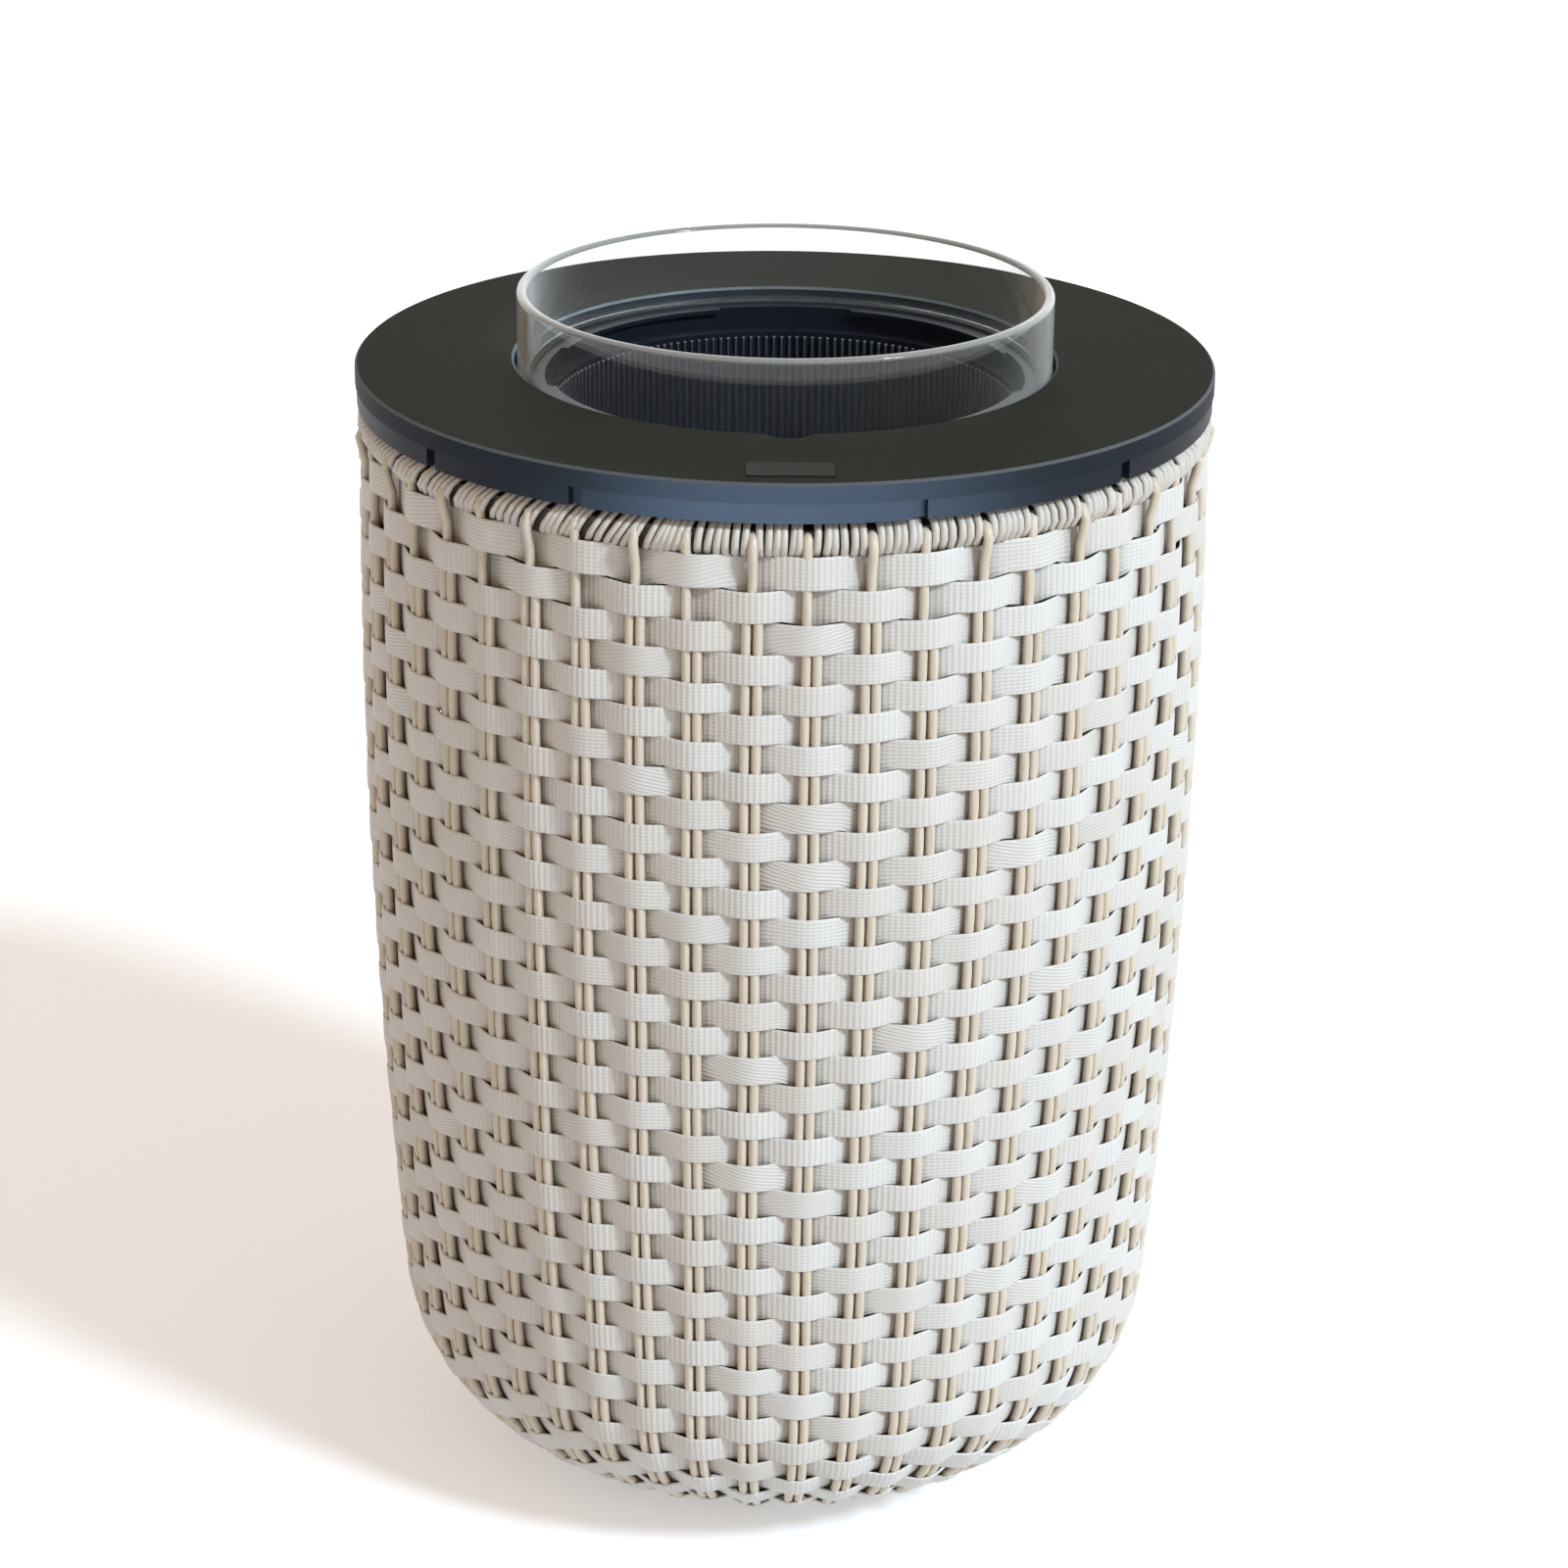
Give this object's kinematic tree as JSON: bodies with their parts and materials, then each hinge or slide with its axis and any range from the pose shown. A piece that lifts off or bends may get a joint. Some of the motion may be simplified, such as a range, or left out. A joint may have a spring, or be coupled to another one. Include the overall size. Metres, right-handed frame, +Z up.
{
  "type": "cooler table",
  "caption": "Round woven drum side table with a lift-off black ring top, a hanging insulated ice bucket and a clear glass collar round its mouth.",
  "frame": {"origin": "on the floor under the drum's axis, the centre of the object's base", "axes": "+Z up along the drum's axis; -Y towards the front, where the finger scallop and the bare plate are"},
  "size_m": [0.3802, 0.3802, 0.561],
  "materials": {
    "woven_band": "flat extruded polyethylene band with fine cross ribs, satin off-white",
    "woven_strand": "round extruded polyethylene strand, satin cream",
    "frame_metal": "powder-coated aluminium flat bar, dark brown-grey",
    "table_board": "solid plastic board, fine matt charcoal",
    "under_plastic": "moulded blue-black plastic, satin",
    "badge_plastic": "bare moulded plate, satin",
    "bucket_plastic": "moulded black polypropylene, semi-gloss",
    "foam": "rigid polyurethane foam",
    "seal_rubber": "soft black silicone",
    "pad_rubber": "soft black pad",
    "glide_plastic": "moulded black nylon",
    "screw_steel": "stainless steel",
    "clear_glass": "clear fire-polished glass"
  },
  "bodies": {
    "basket": {"base_glides": "glide_plastic", "glide_screws": "screw_steel", "glide_nuts": "screw_steel", "woven_base": "woven_band", "woven_corner": "woven_band", "woven_wall": "woven_band", "woven_border": "woven_strand", "rim_hoop": "frame_metal", "upper_waist_hoop": "frame_metal", "lower_waist_hoop": "frame_metal", "base_hoop": "frame_metal", "frame_uprights": "frame_metal", "frame_feet": "frame_metal", "base_star": "frame_metal"},
    "table_top": {"table_ring": "table_board", "badge_plate": "badge_plastic", "under_ring": "under_plastic", "locating_ring": "under_plastic", "table_screws": "screw_steel", "locating_screws": "screw_steel", "rest_pads": "pad_rubber"},
    "ice_bucket": {"bucket_rim": "bucket_plastic", "bucket_liner": "bucket_plastic", "bucket_shell": "bucket_plastic", "bucket_insulation": "foam", "glass_seal": "seal_rubber"},
    "glass_collar": {"glass_ring": "clear_glass"}
  },
  "joints": [
    {"name": "table_lift", "type": "slide", "parent": "basket", "child": "table_top", "axis": [0, 0, 1], "range_m": [0, 0.26]},
    {"name": "bucket_lift", "type": "slide", "parent": "table_top", "child": "ice_bucket", "axis": [0, 0, 1], "range_m": [0, 0.26]},
    {"name": "collar_lift", "type": "slide", "parent": "ice_bucket", "child": "glass_collar", "axis": [0, 0, 1], "range_m": [0, 0.06]}
  ]
}
